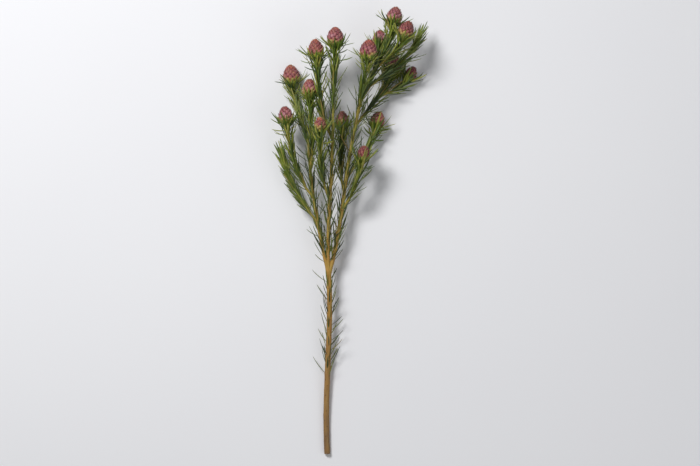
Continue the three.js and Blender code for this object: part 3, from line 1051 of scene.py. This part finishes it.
def addCollars(bm, piece):
    radius = shootShape["radius"] * shootShape["collarGrowth"] * mm
    for collar in collars:
        if collar["piece"] == piece:
            foot, end, age = collar["from"], collar["to"], collar["age"]
            middle = foot.lerp(end, 0.5)
            axis = makeAxis([foot, middle, middle, end],
                            lambda share: radius * lerp(barkShape["collarFoot"], 1, share))
            ripple = barkShape["shootRipple"]
            joinInto(bm, makeRod(axis, barkShape["shootSides"], (age, age), ripple=ripple))


def addKnot(bm):
    # the swelling that the three limbs leave
    knot = newShape()
    bmesh.ops.create_uvsphere(knot, u_segments=32, v_segments=24, radius=1)
    along, side, front = crossAt(axes["trunk"], 1)
    radius = wood["trunk"]["radii"][1] * barkShape["knotGrowth"] * mm
    length, rise = barkShape["knotLength"], barkShape["knotRise"]
    age, grain = layer(knot, "age"), knot.verts.layers.float_vector["grain"]
    for v in knot.verts:
        v[age] = wood["trunk"]["ages"][1]
        offset = Vector((v.co.x * radius, v.co.y * radius, (v.co.z * length + rise) * mm))
        v[grain] = offset + Vector((0, 0, axes["trunk"]["length"]))
        v.co = place(*fork) + side * offset.x + front * offset.y + along * offset.z
    joinInto(bm, knot)


def cutTheEnd(rod):
    # rings on the cut face, for its bark rim, pale wood and pith
    cap = min((f for f in rod.faces if len(f.verts) > 4), key=lambda f: f.calc_center_median().y)
    cap.normal_update()
    middle, facing = cap.calc_center_median(), cap.normal.copy()
    edge = max((v.co - middle).length for v in cap.verts)
    spokes = bmesh.ops.poke(rod, faces=[cap])["verts"][0].link_edges[:]
    bmesh.ops.subdivide_edges(rod, edges=spokes, cuts=barkShape["cutRings"])
    radial, level = layer(rod, "radial"), 0.1 * mm
    for face in rod.faces:
        offsets = [v.co - middle for v in face.verts]
        if all(abs(offset.dot(facing)) < level for offset in offsets):
            face.material_index = 2
            for v, offset in zip(face.verts, offsets):
                v[radial] = offset.length / edge


def makeWood():
    bm = newShape()
    leaves = []
    for name, limb in wood.items():
        axis = axes[name]
        isTrunk = name == "trunk"
        fromShare, toShare = barkShape["scarred"]
        spots = leafSpots(axis, fromShare if isTrunk else limb["leafy"], toShare, limb["spacing"])
        flare = 0 if isTrunk else barkShape["flare"]
        rod = makeRod(axis, barkShape["woodSides"], limb["ages"], spots, flare)
        if isTrunk:
            cutTheEnd(rod)
        joinInto(bm, rod)
        leafy = [spot for spot in spots if spot[0] > limb["leafy"]]
        leaves += growNeedles(name, leafy, lambda share: brush["woodLean"],
                              lambda share: brush["woodYouth"])
    addKnot(bm)
    addCollars(bm, "wood")
    addNeedles(bm, leaves)
    finishPiece(bm, "wood", [needleGreen, bark, cutWood], "wood", "stem")
    print("wood with", len(leaves), "needles")


# The needles and bracts round a cone

involucre = {
    "needles": 20,
    "lengths": (24, 34),
    "spread": (0.5, 10),
    "roots": (0.4, 1.4),  # how far below the cone they start, in lengths of the knob
    "youth": 0.9,
}

bracts = {
    "count": 18,
    "firstTurn": 1.3,
    "width": 1.9,
    "widths": (0.7, 1.15),
    "start": -0.06,  # under the cone, as a share of its length
    "side": 0.03,  # where they reach its side
    "reach": (0.15, 0.4),  # where they end
    "underRadii": (1.5, 3.4),
    "lift": 0.9,  # how far they stand off the cone at the start
    "moreLift": 0.5,  # and how much further at the tip
    "tints": (0.2, 1),
}


def growInvolucre(name):
    cone, grown = cones[name], []
    knob = cone["up"] * shootShape["knobLength"]
    for i in range(involucre["needles"]):
        root = cone["base"] - knob * draw.uniform(*involucre["roots"]) * mm
        length = draw.uniform(*involucre["lengths"]) * mm
        spread = draw.uniform(*involucre["spread"])
        look = needleLook(involucre["youth"], cup["width"])
        grown += cupNeedle(name, root, i * goldenAngle + cone["width"], length, spread, look)
    return grown


def makeShoot(name):
    bm = newShape()
    axis = axes[name]
    fromShare, toShare = brush["span"]
    spots = leafSpots(axis, fromShare, axis["knob"] * toShare, brush["spacing"], brush["crowding"])
    scars = [spot for i, spot in enumerate(spots) if i % 2 == 0]
    joinInto(bm, makeRod(axis, barkShape["shootSides"], axis["ages"], scars,
                         ripple=barkShape["shootRipple"], sunk=shootShape["seatDepth"]))
    low, high, late = brush["youth"]
    leaves = growNeedles(name, spots, lambda share: lerp(*brush["leans"], share),
                         lambda share: lerp(low, high, share ** late))
    if name in cones:
        leaves += growInvolucre(name)
    addCollars(bm, name)
    addNeedles(bm, leaves)
    finishPiece(bm, "leaves_" + name, [needleGreen, bark], "needles", "shoot_" + name)
    return len(leaves)


# Cones

hairShape = {
    "perScale": 12,
    "length": (0.5, 1.1),
    "radius": 0.045,
    "along": (0.45, 0.98),  # where on a scale
    "across": (0.8, 1),  # 1 is its margin
    "lift": 0.1,
    "aim": (1.25, 0.1, 0.9),  # they point this far outwards, forwards and off the cone
    "stray": 0.3,
}

crownShape = {
    # scales, how far out, lean inwards
    "rings": ((10, 1.0, 12), (7, 0.7, 18), (5, 0.4, 22), (3, 0.12, 8)),
    "ring": 3.1,
    "depth": 2.4,  # how far below the cone's top they grow
    "size": (0.4, 0.54),
    "openness": (0.8, 1.15),
    "strayTurn": 0.2,
    "strayLean": 8,
}


def halfTurn(cone):
    # half of the turn that a scale's diamond takes up
    few, many = cone["spirals"]
    return abs(wrapped((many - few) * cone["turn"])) / 2


def scaleSpot(cone, i, u, t, lift):
    whole = sum(cone["spirals"])
    aside, ahead = cone["strays"][i]
    step = i + whole * lerp(-scaleShape["below"], 1 + scaleShape["above"], t) + ahead
    slant = wrapped(whole * cone["turn"]) / whole
    turn = i * cone["turn"] + slant * (step - i) + (u * scaleShape["overlap"] + aside) * halfTurn(cone)
    return onCone(cone, scaleShare(cone, step), turn, lift)


def scaleRise(t, lean=1.0):
    # how far a scale stands off the cone's body, from its sunk root to its free tip
    tip = coneShape["tipLift"] * lean - scaleShape["tipDrop"]
    curl, late = scaleShape["curl"]
    return lerp(-scaleShape["rootDepth"], tip, t ** scaleShape["rise"]) + curl * t ** late


def addScales(bm, cone):
    along = layer(bm, "along")
    for i, verts in enumerate(addCopies(bm, scaleMesh, cone["scales"])):
        middle = scaleShare(cone, i + sum(cone["spirals"]) / 2)
        size = halfTurn(cone) * bodyRadius(middle, cone["width"]) / (scaleShape["halfWidth"] * mm)
        size = clamp(size, *scaleShape["sizes"])
        lean = draw.uniform(*scaleShape["leans"])
        for v in verts:
            lift = (scaleRise(v[along], lean) + v.co.z * size) * mm
            u, t = v.co.x / scaleShape["halfWidth"], v.co.y / scaleShape["length"]
            v.co = scaleSpot(cone, i, u, t, lift)
        setLayers(bm, verts, {"tint": draw.random(), "height": middle})


def addHairs(bm, cone):
    outwards, forwards, off = hairShape["aim"]
    stray = hairShape["stray"]
    spikes = addCopies(bm, hairMesh, cone["scales"] * hairShape["perScale"])
    for number, verts in enumerate(spikes):
        i = number // hairShape["perScale"]
        t = draw.uniform(*hairShape["along"])
        wide = widthAt(scaleShape, t, scaleShape["taper"])
        u = wide * draw.choice((-1, 1)) * draw.uniform(*hairShape["across"])
        lift = scaleRise(t) + hairShape["lift"]
        root = scaleSpot(cone, i, u, t, lift * mm)
        ahead = scaleSpot(cone, i, u * outwards, min(t + forwards, 1), (lift + off) * mm)
        direction = (ahead - root).normalized() + Vector([draw.uniform(-stray, stray) for _ in range(3)])
        turned = direction.to_track_quat("Z", "Y")
        length, radius = draw.uniform(*hairShape["length"]) * mm, hairShape["radius"] * mm
        for v in verts:
            v.co = root + turned @ Vector((v.co.x * radius, v.co.y * radius, v.co.z * length))


def addCrown(bm, cone):
    # small blunt scales that close over the top
    opened = draw.uniform(*crownShape["openness"])
    strayTurn, strayLean = crownShape["strayTurn"], crownShape["strayLean"]
    for count, far, lean in crownShape["rings"]:
        for i, verts in enumerate(addCopies(bm, scaleMesh, count)):
            out = coneOut(cone, (i + far) * 2 * pi / count + draw.uniform(-strayTurn, strayTurn))
            across = cone["up"].cross(out)
            tilt = radians(lean / opened + draw.uniform(-strayLean, strayLean))
            ahead = cone["up"] * cos(tilt) - out * sin(tilt)
            normal = across.cross(ahead) * -1
            size = draw.uniform(*crownShape["size"]) * opened
            root = cone["base"] + cone["up"] * (cone["length"] - crownShape["depth"] * mm)
            root += out * far * crownShape["ring"] * mm
            for v in verts:
                v.co = root + (across * v.co.x + ahead * v.co.y + normal * v.co.z) * size * mm
            setLayers(bm, verts, {"tint": draw.random(), "height": 1})


def addBracts(bm, cone):
    leaves = []
    rings, start, side = needleShape["rings"], bracts["start"], bracts["side"]
    for i in range(bracts["count"]):
        turn, reach = i * goldenAngle + bracts["firstTurn"], draw.uniform(*bracts["reach"])
        out = coneOut(cone, turn)
        path = []
        for k in range(rings + 1):
            share = lerp(start, reach, k / rings)
            if share < side:
                away = lerp(*bracts["underRadii"], (share - start) / (side - start)) * mm
                path.append(cone["base"] + cone["up"] * share * cone["length"] + out * away)
            else:
                lift = (bracts["lift"] + bracts["moreLift"] * k / rings) * mm
                path.append(onCone(cone, share, turn, lift))
        wide = bracts["width"] * draw.uniform(*bracts["widths"])
        look = {"tint": draw.uniform(*bracts["tints"]), "youth": 1, "twist": 0, "wide": wide}
        leaves.append((path, out, look))
    addNeedles(bm, leaves, bractMesh)


def addBody(bm, cone):
    body = newShape()
    bmesh.ops.create_uvsphere(body, u_segments=24, v_segments=16, radius=1)
    height, poles = layer(body, "height"), 0.001
    depth = scaleShape["rootDepth"] - scaleShape["rootCover"]
    for v in body.verts:
        turn, share = atan2(v.co.y, v.co.x), (v.co.z + 1) / 2
        v[height] = share
        if poles < share < 1 - poles:
            v.co = onCone(cone, share, turn, -depth * mm)
        else:
            v.co = cone["base"] + cone["up"] * share * cone["length"]
    joinInto(bm, body)


def makeCone(name):
    bm = newShape()
    cone = cones[name]
    addBody(bm, cone)
    addScales(bm, cone)
    addCrown(bm, cone)
    addHairs(bm, cone)
    addBracts(bm, cone)
    setLayers(bm, bm.verts, dict(zip(lookKeys, shoots[name]["look"])))
    for v in bm.verts:
        v.co.z = max(v.co.z, 0)
    finishPiece(bm, "scales_" + name, [needleGreen, coneScale, silverHair], "scales", "cone_" + name)


makeWood()
needleCount = sum(makeShoot(name) for name in shoots)
print("shoots with", needleCount, "needles")
for coneName in cones:
    makeCone(coneName)
print("cones", len(cones))


# Floor, light and camera

studio = {
    "floorSize": 12,
    "floorTones": ((236, 236, 238), (232, 232, 235)),
    "sky": (0.95, 0.97, 1, 1),
    "skyStrength": 0.23,
    "lights": {
        "keyLight": {"place": (-0.8, 1.0, 1.7), "size": 0.6, "power": 36},
        "fillLight": {"place": (1.2, -0.6, 1.4), "size": 1.4, "power": 6},
    },
    "cameraHeight": 2.4,
    "margin": 1.035,  # the view's height in lengths of the stem
    "sensor": 36,
    "frameShape": 700 / 466,
}


def makeStudio():
    bpy.context.scene.view_settings.view_transform = "Standard"
    bpy.ops.mesh.primitive_plane_add(size=studio["floorSize"])
    floor = bpy.context.object
    floor.name = "floor"
    material, tree, shader = newMaterial("paleFloor", 0.85, 0.2)
    soft = noiseOn(objectPlace(tree), 3, 2)
    connect(blend(soft, *studio["floorTones"]), shader.inputs["Base Color"])
    floor.data.materials.append(material)

    world = bpy.data.worlds.new("studioWorld")
    world.use_nodes = True
    background = world.node_tree.nodes["Background"]
    background.inputs["Color"].default_value = studio["sky"]
    background.inputs["Strength"].default_value = studio["skyStrength"]
    bpy.context.scene.world = world

    for name, plan in studio["lights"].items():
        light = bpy.data.lights.new(name, "AREA")
        light.size = plan["size"]
        light.energy = plan["power"]
        lamp = newObject(name, light)
        lamp.location = plan["place"]
        lamp.rotation_euler = (-Vector(plan["place"])).to_track_quat("-Z", "Y").to_euler()


def makeCamera():
    low, high = cadBox
    tall = (high.y - low.y) * studio["margin"]
    camera = newObject("camera", bpy.data.cameras.new("camera"))
    camera.location = ((low.x + high.x) / 2, (low.y + high.y) / 2, studio["cameraHeight"])
    half = tall / 2 / (studio["cameraHeight"] - high.z / 2)  # tangent of half the view's height
    camera.data.sensor_width = studio["sensor"]
    camera.data.lens = studio["sensor"] / 2 / (half * studio["frameShape"])
    bpy.context.scene.camera = camera


makeStudio()
makeCamera()
for template in (needleMesh, bractMesh, scaleMesh, hairMesh):
    bpy.data.meshes.remove(template)
print("studio ready")
